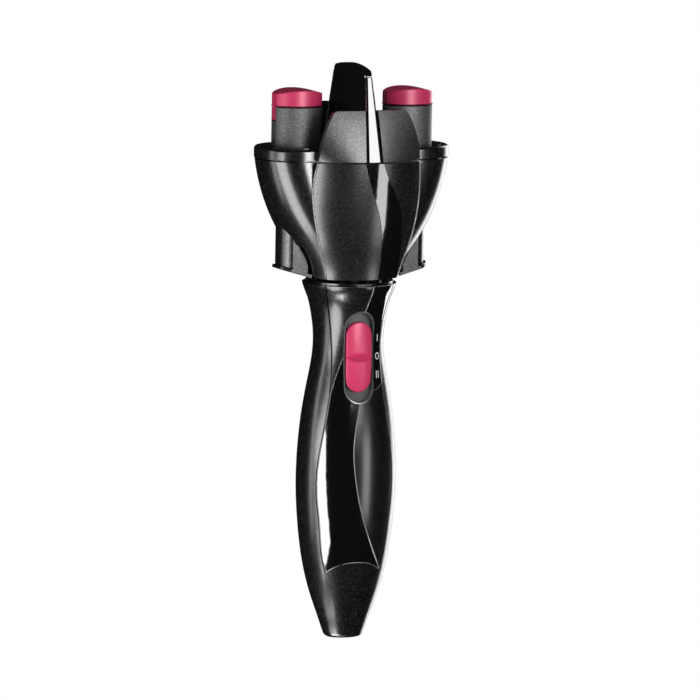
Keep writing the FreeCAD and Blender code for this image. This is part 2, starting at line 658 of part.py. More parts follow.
# ---- Head -------------------------------------------------------------------------------------
def stadium_wire(centre, radius, height):
    """Stadium with its lobes on the X axis, as two arcs and two lines."""
    corners = [(centre, -radius), (centre, radius), (-centre, radius), (-centre, -radius)]
    points = [Vector(x, y, height) for x, y in corners]
    right = Part.Arc(points[0], Vector(centre + radius, 0, height), points[1]).toShape()
    left = Part.Arc(points[2], Vector(-centre - radius, 0, height), points[3]).toShape()
    back = Part.makeLine(points[1], points[2])
    front = Part.makeLine(points[3], points[0])
    return Part.Wire([right, back, left, front])


def head_volume(inset):
    return loft([stadium_wire(c, r - inset, HEAD_BASE + z) for z, c, r in HEAD_SECTIONS])


def plate_region(sections, base, grow):
    """Prism in front of the XZ plane whose half width follows a section list."""
    side = [(section[1] + grow, base + section[0]) for section in sections]
    right = curve(side)
    left = curve([(-x, z) for x, z in side])
    foot = line((-side[0][0], side[0][1]), (side[0][0], side[0][1]))
    head = line((-side[-1][0], side[-1][1]), (side[-1][0], side[-1][1]))
    return front_prism([left, right, foot, head])


def elliptic_volume(sections, base, inset):
    return loft([ellipse_wire(a - inset, b - inset, base + z) for z, width, a, b in sections])


body = head_volume(0.0)
head_top = HEAD_BASE + HEAD_HEIGHT
pocket_radius = TUBE_RADIUS + CLEAR
plate_low = HEAD_BASE + TUBE_TOP + HOOK_LIFT + CLIP_THICKNESS + SPRING_SPACE
plate_high = plate_low + PLATE_THICKNESS
interior = head_volume(HEAD_WALL).cut(block(-REACH, REACH, -REACH, REACH, 0, head_floor))
head_shell = body.cut(interior)
lip_rise = LIP_RADIUS * math.sin(math.radians(LIP_TILT)) + LIP_THICKNESS
flare_high = HEAD_BASE + LIP_HEIGHT + lip_rise + HOOK_LIFT + CLEAR
for side in (-1, 1):
    x = side * HOOK_X
    wall = cylinder(pocket_radius + POCKET_WALL, HEAD_BASE, plate_low, x).common(body)
    head_shell = head_shell.fuse(wall)
for side in (-1, 1):
    x = side * HOOK_X
    head_shell = head_shell.cut(cylinder(pocket_radius, HEAD_BASE - 1, plate_low, x))
    head_shell = head_shell.cut(cylinder(LIP_RADIUS + 2 * CLEAR, HEAD_BASE - 1, flare_high, x))
head_shell = head_shell.cut(cylinder(SPINDLE_RADIUS, 0, head_floor + 1))

# Front and back petals with their gloss ribbons.
petal_region = plate_region(PETAL_SECTIONS, HEAD_BASE, 0.0)
petal_volume = elliptic_volume(PETAL_SECTIONS, HEAD_BASE, 0.0)
petal_hollow = elliptic_volume(PETAL_SECTIONS, HEAD_BASE, PETAL_WALL)
hollow_region = plate_region(PETAL_SECTIONS, HEAD_BASE, -PETAL_WALL)
hollow_span = block(
    -REACH, REACH, -REACH, 0, HEAD_BASE + PETAL_WALL, head_top - PETAL_WALL)
petal = petal_volume.common(petal_region).cut(body)
petal = petal.cut(petal_hollow.common(hollow_region).common(hollow_span))
petal_skin = petal_volume.cut(elliptic_volume(PETAL_SECTIONS, HEAD_BASE, INLAY))


def head_ribbon_region(grow):
    left = [(x - grow, HEAD_BASE + z) for x, z in HEAD_RIBBON_LEFT]
    right = [(x + grow, HEAD_BASE + z) for x, z in HEAD_RIBBON_RIGHT]
    low = HEAD_BASE - BEYOND
    high = head_top + BEYOND
    edges = [
        curve(left),
        line(left[0], (left[0][0], low)),
        line((left[0][0], low), (right[0][0], low)),
        line((right[0][0], low), right[0]),
        curve(right),
        line(right[-1], (right[-1][0], high)),
        line((right[-1][0], high), (left[-1][0], high)),
        line((left[-1][0], high), left[-1]),
    ]
    return front_prism(edges)


head_ribbon = petal_skin.common(petal_region).common(head_ribbon_region(0.0)).cut(body)
petal = petal.cut(petal_skin.common(head_ribbon_region(RIBBON_SEAM)))
keep("front_petal", petal)
keep("back_petal", turned(petal, 180))
keep("front_head_ribbon", head_ribbon)
keep("back_head_ribbon", turned(head_ribbon, 180))

# ---- Top cover, shields and fin ----------------------------------------------------------------
cover_low = head_top + SPLIT_GAP
cover_high = cover_low + RIM_HEIGHT
deck_high = cover_low + DECK_THICKNESS
disc_low = deck_high + CLEAR
disc_high = disc_low + DISC_THICKNESS


def stadium_solid(centre, radius, low, high):
    return Part.Face(stadium_wire(centre, radius, low)).extrude(Vector(0, 0, high - low))


cover_block = stadium_solid(HOOK_X, LOBE_RADIUS + RIM_PROUD, cover_low, cover_high)
rim_edges = [edge for edge in cover_block.Edges if edge.BoundBox.ZMin > cover_high - 0.01]
top_cover = cover_block.makeFillet(RIM_ROUND, rim_edges)
for side in (-1, 1):
    x = side * HOOK_X
    top_cover = top_cover.cut(cylinder(DISC_RADIUS + CLEAR, deck_high, cover_high + 1, x))
    top_cover = top_cover.cut(cylinder(HOOK_SPINDLE_RADIUS + CLEAR, cover_low - 1, cover_high, x))
lip_zone = block(-REACH, REACH, -REACH, REACH, head_top - LIP_DEPTH, head_top)
lip_outer = HEAD_WALL + LIP_PLAY
lip_inner = lip_outer + LIP_WALL
locating_lip = head_volume(lip_outer).cut(head_volume(lip_inner)).common(lip_zone)
lip_neck = stadium_solid(HOOK_X, LOBE_RADIUS - lip_outer, head_top, cover_low)
lip_neck = lip_neck.cut(stadium_solid(HOOK_X, LOBE_RADIUS - lip_inner, head_top - 1, cover_low + 1))
locating_lip = locating_lip.fuse(lip_neck)
top_cover = top_cover.fuse(locating_lip)
keep("top_cover", top_cover)

shield_volume = elliptic_volume(SHIELD_SECTIONS, cover_low, 0.0)
shield_region = plate_region(SHIELD_SECTIONS, cover_low, 0.0)
corner_edges = []
for edge in shield_region.Edges:
    box = edge.BoundBox
    if box.ZMin > cover_low + SHIELD_HEIGHT - 0.01 and box.YLength > REACH / 2:
        corner_edges.append(edge)
shield_region = shield_region.makeFillet(SHIELD_CORNER, corner_edges)
web_high = cover_low + SHIELD_WEB
shield_hollow = elliptic_volume(SHIELD_SECTIONS, cover_low, SHIELD_WALL)
shield_hollow = shield_hollow.common(block(
    -REACH, REACH, -REACH, REACH, web_high, cover_low + SHIELD_HEIGHT))
shield = shield_volume.common(shield_region).cut(cover_block).cut(shield_hollow)


def fin_volume(grow, longer):
    """Wedge of the fin, made thicker by grow and longer to the front and back."""
    wires = []
    for z, thickness, depth in FIN_SECTIONS:
        half_x = thickness + grow
        half_y = depth + longer
        corners = [(-half_x, -half_y), (half_x, -half_y), (half_x, half_y), (-half_x, half_y)]
        points = [Vector(x, y, cover_low + z) for x, y in corners]
        wires.append(Part.makePolygon(points + [points[0]]))
    return Part.makeLoft(wires, True, True)


fin_high = cover_low + FIN_SECTIONS[-1][0]
fin_depth = FIN_SECTIONS[-1][2]
corner_y = fin_depth - FIN_CORNER
corner_z = fin_high - FIN_CROWN
side_z = corner_z - FIN_CORNER
foot_z = cover_low - BEYOND
bend = FIN_CORNER * math.sin(math.radians(45.0))
front_corner = [
    Vector(0, -fin_depth, side_z),
    Vector(0, -corner_y - bend, side_z + bend),
    Vector(0, -corner_y, corner_z)]
back_corner = [Vector(0, -point.y, point.z) for point in reversed(front_corner)]
crest = [front_corner[-1], Vector(0, 0, fin_high), back_corner[0]]
outline = [Part.Arc(*points).toShape() for points in (front_corner, crest, back_corner)]
skirt = [
    back_corner[-1], Vector(0, REACH, side_z), Vector(0, REACH, foot_z),
    Vector(0, -REACH, foot_z), Vector(0, -REACH, side_z), front_corner[0]]
outline += [Part.makeLine(start, end) for start, end in zip(skirt, skirt[1:])]
fin_outline = moved(closed_face(outline).extrude(Vector(REACH, 0, 0)), -REACH / 2)
fin_keep_out = elliptic_volume(SHIELD_SECTIONS, cover_low, FIN_FOOT_SKIN).common(
    block(-REACH, REACH, -REACH, REACH, cover_low, web_high)).fuse(cover_block)
fin_blank = fin_volume(0.0, 0.0)
fin_edges = [edge for edge in fin_blank.Edges if edge.BoundBox.ZLength > FIN_CORNER]
fin_blank = fin_blank.makeFillet(FIN_EDGE, fin_edges)
keep("divider_fin", fin_blank.common(fin_outline).cut(fin_keep_out))
shield_slot = fin_volume(SEAM, BEYOND).cut(fin_keep_out)
front_shield = shield.cut(shield_slot)
keep("front_shield", front_shield)
keep("back_shield", turned(front_shield, 180))


# ---- Gears ------------------------------------------------------------------------------------
def gear(teeth, low, bore):
    """Involute spur gear about the origin, with the middle of one tooth on +X."""
    pitch = MODULE * teeth / 2
    base = pitch * math.cos(PRESSURE_ANGLE)
    tip = pitch + MODULE
    root = pitch - 1.25 * MODULE
    half_tooth = math.pi / (2 * teeth) - BACKLASH / (4 * pitch)
    involute = math.tan(PRESSURE_ANGLE) - PRESSURE_ANGLE

    def flank_angle(radius):
        roll = math.acos(min(1.0, base / radius))
        return half_tooth + involute - (math.tan(roll) - roll)

    def at(radius, angle):
        return Vector(radius * math.cos(angle), radius * math.sin(angle), 0)

    start = max(base, root)
    radii = [start + (tip - start) * step / 4 for step in range(5)]
    edges = []
    for tooth in range(teeth):
        middle = 2 * math.pi * tooth / teeth
        following = middle + 2 * math.pi / teeth
        rising = [at(r, middle - flank_angle(r)) for r in radii]
        falling = [at(r, middle + flank_angle(r)) for r in reversed(radii)]
        for points in (rising, falling):
            flank = Part.BSplineCurve()
            flank.interpolate(points)
            edges.append(flank.toShape())
            if points is rising:
                edges.append(Part.Arc(rising[-1], at(tip, middle), falling[0]).toShape())
        gap = flank_angle(start)
        foot = at(root, middle + gap)
        next_foot = at(root, following - gap)
        edges.append(Part.makeLine(falling[-1], foot))
        edges.append(Part.Arc(foot, at(root, (middle + following) / 2), next_foot).toShape())
        edges.append(Part.makeLine(next_foot, at(start, following - gap)))
    face = closed_face(edges)
    solid = face.extrude(Vector(0, 0, GEAR_THICKNESS))
    return moved(solid, 0, 0, low).cut(cylinder(bore, low - 1, low + GEAR_THICKNESS + 1))


gear_low = cover_low - GEAR_CLEARANCE - CLEAR - GEAR_THICKNESS
gear_high = gear_low + GEAR_THICKNESS
keep("sun_gear", gear(SUN_TEETH, gear_low, DRIVE_RADIUS))
hook_gear = gear(HOOK_TEETH, gear_low, HOOK_SPINDLE_RADIUS)
# The sun has a tooth towards +X and, its count being odd, a gap towards -X.
gear_phase = {-1: 0.0, 1: 180.0 / HOOK_TEETH}

# ---- Drive shaft with the one-way clutch --------------------------------------------------------
ratchet_low = head_floor + PLATE_THICKNESS + RATCHET_GAP
ratchet_high = ratchet_low + RATCHET_THICKNESS
keep("drive_shaft", cylinder(DRIVE_RADIUS, drive_low, gear_high + SHAFT_RISE))
corners = []
for tooth in range(RATCHET_TEETH):
    angle = 2 * math.pi * tooth / RATCHET_TEETH
    for radius in (RATCHET_RADIUS - RATCHET_TOOTH, RATCHET_RADIUS):
        corners.append(Vector(radius * math.cos(angle), radius * math.sin(angle), ratchet_low))
wheel = Part.Face(Part.makePolygon(corners + [corners[0]])).extrude(Vector(0, 0, RATCHET_THICKNESS))
keep("ratchet_wheel", wheel.cut(cylinder(DRIVE_RADIUS, 0, head_top)))
pawl_x = RATCHET_RADIUS + 2 * CLEAR + PAWL_WIDTH / 2
pawl_y = PAWL_LENGTH / 2
pin_low = head_floor + PLATE_THICKNESS
pawl = block(pawl_x - PAWL_WIDTH / 2, pawl_x + PAWL_WIDTH / 2, -pawl_y, pawl_y, ratchet_low, ratchet_high)
pawl_pin = cylinder(PAWL_PIN, pin_low, ratchet_high + PAWL_PIN_RISE, pawl_x, pawl_y)
pawl = pawl.fuse(cylinder(PAWL_EYE, ratchet_low, ratchet_high, pawl_x, pawl_y)).cut(pawl_pin)
keep("clutch_pawl", pawl)
keep("pawl_pin", pawl_pin)
keep("head_spindle", spindle)

# ---- Gear plate and its bushes ------------------------------------------------------------------
bush_radius = HOOK_SPINDLE_RADIUS + BUSH_WALL
drive_bush_radius = DRIVE_RADIUS + BUSH_WALL
gear_plate = head_volume(HEAD_WALL + PLATE_PLAY).common(block(
    -REACH, REACH, -REACH, REACH, plate_low, plate_high))
bushes = []
for x, shaft, bush in (
        (-HOOK_X, HOOK_SPINDLE_RADIUS, bush_radius),
        (0.0, DRIVE_RADIUS, drive_bush_radius),
        (HOOK_X, HOOK_SPINDLE_RADIUS, bush_radius)):
    gear_plate = gear_plate.cut(cylinder(bush, plate_low - 1, plate_high + 1, x))
    bushes.append(ring(bush, shaft + RUNNING_FIT, plate_low, plate_high, x))
keep("plate_bushes", Part.makeCompound(bushes))
post_screws = []
for x, y in (
        (-PLATE_SCREW_X, PLATE_SCREW_Y), (PLATE_SCREW_X, PLATE_SCREW_Y),
        (-PLATE_SCREW_X, -PLATE_SCREW_Y), (PLATE_SCREW_X, -PLATE_SCREW_Y)):
    shank = cylinder(SCREW_RADIUS, plate_low - PLATE_SCREW_DEPTH, plate_high, x, y)
    head = cylinder(SCREW_HEAD_RADIUS, plate_high, plate_high + LOW_HEAD_LENGTH, x, y)
    post_screws.append(shank.fuse(head))
    gear_plate = gear_plate.cut(cylinder(SCREW_RADIUS, plate_low - 1, plate_high + 1, x, y))
    pillar = cylinder(BOSS_RADIUS, head_floor, plate_low, x, y).common(body)
    pillar = pillar.cut(cylinder(SPINDLE_FLANGE, 0, head_floor + PLATE_THICKNESS))
    head_shell = head_shell.fuse(pillar).cut(shank)
keep("gear_plate", gear_plate)
keep("head_screws", Part.makeCompound(post_screws))
keep("head_shell", head_shell)


# ---- Hooks and their push tubes, once for the left side and once for the right ------------------
def post_solid(inset, low, high):
    """Upright of the hook: an elliptic column with its two ends cut flat."""
    oval = Part.Face(ellipse_wire(POST_HALF_WIDTH - inset, POST_HALF_DEPTH - inset, low))
    column = oval.extrude(Vector(0, 0, high - low))
    flat = POST_FLAT - inset
    return column.common(block(-flat, flat, -REACH, REACH, low - 1, high + 1))


def crowned(shape, top):
    """Arch a cap's top down towards its two ends along X."""
    sag = CAP_CROWN
    radius = (POST_FLAT ** 2 + sag ** 2) / (2 * sag)
    arch = Part.makeCylinder(radius, 2 * REACH, Vector(0, -REACH, top - radius), Vector(0, 1, 0))
    return shape.common(arch)


post_low = disc_high
post_high = post_low + POST_HEIGHT
cap_low = post_high + CAP_GAP
cap_high = cap_low + CAP_HEIGHT
tube_high = HEAD_BASE + TUBE_TOP
hook_clip_high = plate_low - CLIP_PLAY
hook_clip_low = hook_clip_high - CLIP_THICKNESS
hook_spindle_low = hook_clip_low - CLIP_THICKNESS
for side, name in ((-1, "left"), (1, "right")):
    x = side * HOOK_X
    keep(name + "_hook_gear", moved(turned(hook_gear, gear_phase[side]), x))
    clip = ring(
        HOOK_SPINDLE_RADIUS + CLIP_WALL, HOOK_SPINDLE_RADIUS - HOOK_CLIP_GROOVE,
        hook_clip_low, hook_clip_high)
    hook_spindle = cylinder(HOOK_SPINDLE_RADIUS, hook_spindle_low, disc_high)
    hook_spindle = hook_spindle.cut(cylinder(HOOK_ROD_RADIUS + RUNNING_FIT, 0, 2 * NECK_TOP))
    keep(name + "_hook_spindle", moved(hook_spindle.cut(clip), x))
    clip_mouth = block(0, REACH, -HOOK_CLIP_MOUTH, HOOK_CLIP_MOUTH, 0, 2 * NECK_TOP)
    keep(name + "_hook_clip", moved(clip.cut(clip_mouth), x))
    disc = cylinder(DISC_RADIUS, disc_low, disc_high)
    keep(name + "_hook_disc", moved(disc.cut(cylinder(HOOK_SPINDLE_RADIUS, 0, 2 * head_top)), x))

    post = post_solid(0.0, post_low, post_high)
    post = post.cut(cylinder(HOOK_ROD_RADIUS + CLEAR, post_low - 1, post_high + 1))
    groove = block(
        POST_FLAT - CAP_LEG_THICKNESS - CLEAR, REACH, -CAP_LEG_HALF_WIDTH - CLEAR,
        CAP_LEG_HALF_WIDTH + CLEAR, post_high - CAP_LEG_DROP - CLEAR, post_high + 1)
    cap = crowned(post_solid(0.0, cap_low, cap_high), cap_high)
    top_edges = [edge for edge in cap.Edges if edge.BoundBox.ZMin > cap_low + CAP_HEIGHT / 2]
    cap = cap.makeFillet(CAP_EDGE, top_edges)
    leg = post_solid(0.0, post_high - CAP_LEG_DROP, cap_low + CAP_LEG_ROOT).common(block(
        POST_FLAT - CAP_LEG_THICKNESS, REACH, -CAP_LEG_HALF_WIDTH, CAP_LEG_HALF_WIDTH, 0, cap_high))
    cap = cap.fuse(leg)
    rod_top = cap_low + ROD_REACH * CAP_HEIGHT
    cap = cap.cut(cylinder(HOOK_ROD_RADIUS, 0, rod_top))
    outwards = 0.0 if side > 0 else 180.0
    keep(name + "_hook_post", moved(turned(post.cut(groove), outwards), x))
    keep(name + "_hook_cap", moved(turned(cap, outwards), x))
    keep(name + "_hook_rod", cylinder(HOOK_ROD_RADIUS, tube_high - TUBE_ROOF, rod_top, x))

    # The push tube is open below; its mouth and its lip are cut on the slant, higher outwards.
    lip_z = HEAD_BASE + LIP_HEIGHT
    tilt_axis = Vector(0, -1, 0)
    lip_centre = Vector(0, 0, lip_z)
    tube = cylinder(TUBE_RADIUS, lip_z - LIP_RADIUS, tube_high)
    tube = tube.common(block(-REACH, REACH, -TUBE_FLAT, TUBE_FLAT, 0, tube_high))
    bore = cylinder(TUBE_RADIUS - TUBE_WALL, lip_z - 2 * LIP_RADIUS, tube_high - TUBE_ROOF)
    bore = bore.common(block(
        -REACH, REACH, -TUBE_FLAT + TUBE_WALL, TUBE_FLAT - TUBE_WALL, 0, tube_high))
    below = turned(block(-REACH, REACH, -REACH, REACH, lip_z - REACH, lip_z), LIP_TILT, lip_centre, tilt_axis)
    lip = turned(cylinder(LIP_RADIUS, lip_z, lip_z + LIP_THICKNESS), LIP_TILT, lip_centre, tilt_axis)
    lip = lip.common(block(
        -REACH, REACH, -TUBE_FLAT - LIP_PROUD, TUBE_FLAT + LIP_PROUD, 0, tube_high))
    tube = tube.cut(below).fuse(lip).cut(bore)
    tube = tube.cut(cylinder(HOOK_ROD_RADIUS, 0, 2 * NECK_TOP))
    keep(name + "_push_tube", moved(turned(tube, outwards), x))
    keep(name + "_return_spring", coil(
        RETURN_COIL_RADIUS, RETURN_WIRE, tube_high, hook_spindle_low, RETURN_TURNS, x))

for name, shape in built.items():
    shape.exportStep("parts/" + name + ".step")
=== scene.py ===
# %% [markdown]
# # Automatic hair braider
# A hand-held tool that braids two strands of hair. A slim grip holds two cells and a motor. On its
# neck turns a two-lobed head, and in each lobe turns a hook with a pink cap. The solids come from the
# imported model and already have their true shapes. This file gives them finishes, adds the trim that is
# too fine for the solids, and lights them as a catalogue would.

# %% Load the frame
import json
import math

import bmesh
import bpy
from mathutils import Matrix, Vector
from mathutils.bvhtree import BVHTree


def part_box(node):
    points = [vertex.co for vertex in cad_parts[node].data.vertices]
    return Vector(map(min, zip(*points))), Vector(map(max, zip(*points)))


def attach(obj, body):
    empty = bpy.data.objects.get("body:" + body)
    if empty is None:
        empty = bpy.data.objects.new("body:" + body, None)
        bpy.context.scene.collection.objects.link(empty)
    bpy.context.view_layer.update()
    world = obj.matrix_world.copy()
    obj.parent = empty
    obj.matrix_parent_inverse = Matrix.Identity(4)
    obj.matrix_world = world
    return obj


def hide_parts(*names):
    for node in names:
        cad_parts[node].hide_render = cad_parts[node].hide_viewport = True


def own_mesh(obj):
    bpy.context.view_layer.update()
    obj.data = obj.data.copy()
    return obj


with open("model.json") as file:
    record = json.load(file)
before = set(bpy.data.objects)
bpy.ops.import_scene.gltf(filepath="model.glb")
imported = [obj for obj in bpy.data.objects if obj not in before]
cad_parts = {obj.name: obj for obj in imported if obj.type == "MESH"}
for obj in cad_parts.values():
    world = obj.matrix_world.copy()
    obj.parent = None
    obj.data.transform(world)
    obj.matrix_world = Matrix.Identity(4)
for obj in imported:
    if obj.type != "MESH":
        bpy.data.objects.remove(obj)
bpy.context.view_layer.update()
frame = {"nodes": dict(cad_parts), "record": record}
nodes = frame["nodes"]
MM = 0.001

# %% [markdown]
# ## Camera
# The tool stands upright and is seen a little from the left and from slightly above. A camera can be
# pushed about by hand until the view looks right, or it can be worked out. Here the focal length
# follows from the real size of one pixel and from the distance, so the tool keeps its size in the
# frame when the distance changes. A long lens from far away keeps the slim body from bending.

# %% Camera
IMAGE_PIXELS = 700
MM_PER_PIXEL = 0.417
SENSOR_WIDTH = 36.0
CAMERA_DISTANCE = 2.4
CAMERA_AZIMUTH = -21.0
CAMERA_ELEVATION = 8.0
CAMERA_ROLL = 1.05
CAMERA_AIM = Vector((0.000888, -0.000226, 0.121097))


def away(azimuth, elevation):
    """Unit vector towards a viewer; azimuth 0 looks along +Y."""
    a, e = math.radians(azimuth), math.radians(elevation)
    return Vector((math.sin(a) * math.cos(e), -math.cos(a) * math.cos(e), math.sin(e)))


def facing(direction, roll):
    """Rotation of a camera or lamp that looks back along direction, leaning by roll degrees."""
    lean = Matrix.Rotation(math.radians(roll), 3, "Z").to_quaternion()
    return direction.to_track_quat("Z", "Y") @ lean


lens = bpy.data.cameras.new("camera")
lens.sensor_width = SENSOR_WIDTH
lens.lens = CAMERA_DISTANCE * SENSOR_WIDTH / (MM_PER_PIXEL * MM * IMAGE_PIXELS)
camera = bpy.data.objects.new("camera", lens)
bpy.context.collection.objects.link(camera)
back = away(CAMERA_AZIMUTH, CAMERA_ELEVATION)
camera.matrix_world = Matrix.LocRotScale(
    CAMERA_AIM + back * CAMERA_DISTANCE, facing(back, CAMERA_ROLL), None)
bpy.context.scene.camera = camera
bpy.context.scene.view_settings.view_transform = "Standard"
print("lens", round(lens.lens, 1), "mm")

# %% [markdown]
# ## Shader expressions
# A finish is a net of shader nodes. It could be built one node at a time, but maths reads best as a
# formula. `Wire` wraps one socket, and its operators add the Math node that does the sum.


# %% A socket that can be used in a formula
class Wire:
    """One output socket of a shader, for use in a formula."""

    def __init__(self, net, socket):
        self.net = net
        self.socket = socket

    def _math(self, operation, first, second):
        return self.net.add("ShaderNodeMath", {"operation": operation}, {0: first, 1: second})

    def __add__(self, other):
        return self._math("ADD", self, other)

    def __sub__(self, other):
        return self._math("SUBTRACT", self, other)

    def __rsub__(self, other):
        return self._math("SUBTRACT", other, self)

    def __mul__(self, other):
        return self._math("MULTIPLY", self, other)

    __radd__ = __add__
    __rmul__ = __mul__


# %% [markdown]
# `Net` holds one node tree and puts every other node in with one method: the kind of node, its
# settings and its inputs. The settings go first, because some of them change which sockets there are.


# %% A node tree
class Net:
    """A node tree that is filled through one method."""

    def __init__(self, tree):
        self.tree = tree

    def add(self, kind, settings=None, inputs=None, output=0):
        made = self.tree.nodes.new(kind)
        for key, value in (settings or {}).items():
            if key == "stops":
                self.set_stops(made.color_ramp.elements, value)
            else:
                setattr(made, key, value)
        for key, value in (inputs or {}).items():
            self.feed(made.inputs[key], value)
        return Wire(self, made.outputs[output])

    def set_stops(self, ramp, stops):
        while len(ramp) < len(stops):
            ramp.new(0.5)
        for stop, (place, level) in zip(ramp, stops):
            stop.position = place
            stop.color = (level, level, level, 1)

    def feed(self, socket, value):
        if isinstance(value, Wire):
            self.tree.links.new(value.socket, socket)
        else:
            socket.default_value = value

    def mix(self, share, first, second):
        """Colour between first and second."""
        return self.add("ShaderNodeMix", {"data_type": "RGBA"}, {0: share, 6: first, 7: second}, 2)

    def ramp(self, value, *stops):
        return self.add("ShaderNodeValToRGB", {"stops": stops}, {"Fac": value})


# %% [markdown]
# `Finish` is the net of one material. Its constants go straight on the shader's own sockets, where an
# export can read them, and only what changes over the surface is wired in.


# %% A material
class Finish(Net):
    """A material around one Principled shader."""

    def __init__(self, name, **constants):
        self.material = bpy.data.materials.new(name)
        self.material.use_nodes = True
        super().__init__(self.material.node_tree)
        self.shader = self.tree.nodes["Principled BSDF"]
        self.wire(**constants)

    def wire(self, **values):
        for socket, value in values.items():
            self.feed(self.shader.inputs[socket.replace("_", " ")], value)

    def noise(self, size, detail=2.0):
        """Soft noise whose blotches are about size metres across."""
        place = self.add("ShaderNodeTexCoord", output="Object")
        return self.add("ShaderNodeTexNoise", None, {"Vector": place, "Scale": 1 / size, "Detail": detail})

    def flakes(self, size):
        """One random level for each flake; flakes are about size metres across."""
        place = self.add("ShaderNodeTexCoord", output="Object")
        return self.add("ShaderNodeTexVoronoi", None, {"Vector": place, "Scale": 1 / size}, "Color")

    def bump(self, height, strength, distance):
        return self.add(
            "ShaderNodeBump", None, {"Height": height, "Strength": strength, "Distance": distance})


# %% [markdown]
# ## Satin shells
# The shells are painted satin black with a fine metallic fleck. The flecks could be an image, but an
# image has to be laid out over every curved face, while a Voronoi texture fills space with small cells
# by itself. Each cell has one random level, and only the highest levels become bare metal, so `share`
# says how much of the paint glitters. A wide, slow noise moves the gloss a little, as handling does.

# %% Satin paint
FLAKE_SIZE = 0.30 * MM
FLAKE_GLOSS = 0.10
LEVEL_WITHOUT_FLAKES = 0.78
LEVEL_PER_SHARE = 0.4
LEVEL_SOFTNESS = 0.12
HAZE_SIZE = 14 * MM
HAZE_GLOSS = 0.04
HAZE_STRENGTH = 0.3
RELIEF = 0.02 * MM
GROUND_BLUE = 1.04
FLAKE_BLUE = 1.03


def cool(level, blue):
    """Grey of the given level whose blue is a little stronger."""
    return (level, level, level * blue, 1)


def satin(name, ground, flake_level, roughness, share):
    """Paint of one dark ground with metal flakes; share is how much of it the flakes cover."""
    finish = Finish(name, Specular_IOR_Level=1.0, IOR=1.6)
    flake = finish.flakes(FLAKE_SIZE)
    haze = finish.noise(HAZE_SIZE)
    bare = LEVEL_WITHOUT_FLAKES - LEVEL_PER_SHARE * share
    shine = finish.ramp(flake, (bare, 0), (bare + LEVEL_SOFTNESS, 1))
    finish.wire(
        Base_Color=finish.mix(shine, cool(ground, GROUND_BLUE), cool(flake_level, FLAKE_BLUE)),
        Metallic=shine,
        Roughness=roughness + (flake - 0.5) * FLAKE_GLOSS + (haze - 0.5) * HAZE_GLOSS,
        Normal=finish.bump(haze, HAZE_STRENGTH, RELIEF))
    return finish.material


# %% [markdown]
# The parts don't all catch the light alike. The grip and the lobes are the smoothest, the petals and
# shields are softer, and the posts are graphite grey. The shields' paint has a lighter ground and more
# flakes, painted light that lifts the back shield in the shade of the fin and posts. The discs and tubes
# sit in the shade and hardly glitter: their darker paint with few flakes is painted shade.
# The edge paint is lighter than the shell and mostly metal: a painted highlight for the beads that show as
# thin light lines.

# %% The satin family
satin_black = satin("satin_black", ground=0.0025, flake_level=0.11, roughness=0.22, share=0.22)
petal_black = satin("petal_black", ground=0.0035, flake_level=0.11, roughness=0.25, share=0.20)
# Lighter ground and more flakes: painted light for the shields, the back one being in shade.
shield_black_painted_light = satin("shield_black_painted_light", ground=0.008, flake_level=0.20, roughness=0.34, share=0.34)
# Darker copies with few flakes: painted shade for the discs, the collar and the tubes.
deck_black_painted_shade = satin("deck_black_painted_shade", ground=0.003, flake_level=0.04, roughness=0.20, share=0.10)
tube_black_painted_shade = satin("tube_black_painted_shade", ground=0.003, flake_level=0.05, roughness=0.26, share=0.10)
satin_graphite = satin("satin_graphite", ground=0.035, flake_level=0.26, roughness=0.55, share=0.36)
# Lighter than the shell: a painted highlight for the edge beads.
satin_edge_painted_highlight = satin("satin_edge_painted_highlight", ground=0.11, flake_level=0.45, roughness=0.30, share=0.75)
print("satin paints:", [m.name for m in bpy.data.materials])

# %% [markdown]
# ## Gloss inlays
# The ribbons and the fin are polished black plastic. Their own colour is almost nothing, and what one
# sees is a clean reflection. One very smooth layer would do, but a clear coat over a smooth base is
# easier to steer. Soft noise in the base's roughness is the trace of wear that polish always has.

# %% Gloss black
POLISH_SIZE = 9 * MM
POLISHED = 0.05
WEAR = 0.05
gloss = Finish(
    "gloss_black", Base_Color=(0.002, 0.002, 0.0023, 1), Specular_IOR_Level=1.0, IOR=1.8,
    Coat_Weight=1.0, Coat_Roughness=0.03)
polish = gloss.noise(POLISH_SIZE, detail=4.0)
gloss.wire(Roughness=POLISHED + polish * WEAR)
gloss_black = gloss.material
print("gloss:", gloss_black.name)

# %% [markdown]
# ## Pink parts
# The slider and the caps are moulded in a pearl pink: a semi-gloss skin over fine mica. The mica could
# be flakes like the paint's, but it is far finer, so noise that drifts between two pinks is enough.
# The other pink is nearly black. It is painted shade for the fine gap where a cap meets its post.

# %% Pearl pink
MICA_SIZE = 0.35 * MM
MICA_STRENGTH = 0.08
PEARL_ROUGHNESS = 0.38
PEARL_GLOSS = 0.12
PALE_PINK = (0.60, 0.040, 0.135, 1)
DEEP_PINK = (0.46, 0.014, 0.072, 1)
pearl = Finish("pink", Coat_Weight=0.25, Coat_Roughness=0.3, Metallic=0.1)
mica = pearl.noise(MICA_SIZE, detail=3.0)
pearl.wire(
    Base_Color=pearl.mix(mica, DEEP_PINK, PALE_PINK),
    Roughness=PEARL_ROUGHNESS + (mica - 0.5) * PEARL_GLOSS,
    Normal=pearl.bump(mica, MICA_STRENGTH, RELIEF))
pink = pearl.material
# Nearly black pink: painted shade for the gap under each cap.
seam_pink_painted_shade = Finish(
    "seam_pink_painted_shade", Base_Color=(0.055, 0.002, 0.008, 1), Roughness=0.6, Specular_IOR_Level=0.2).material
print("pinks:", pink.name, seam_pink_painted_shade.name)

# %% [markdown]
# ## Plain finishes
# The switch recess, the marks and the works inside are plain moulded plastic or bare metal. Each could
# have a finish built by hand, but these parts are small or hidden. One function makes them all: a
# colour that drifts slightly and a faint cast texture.

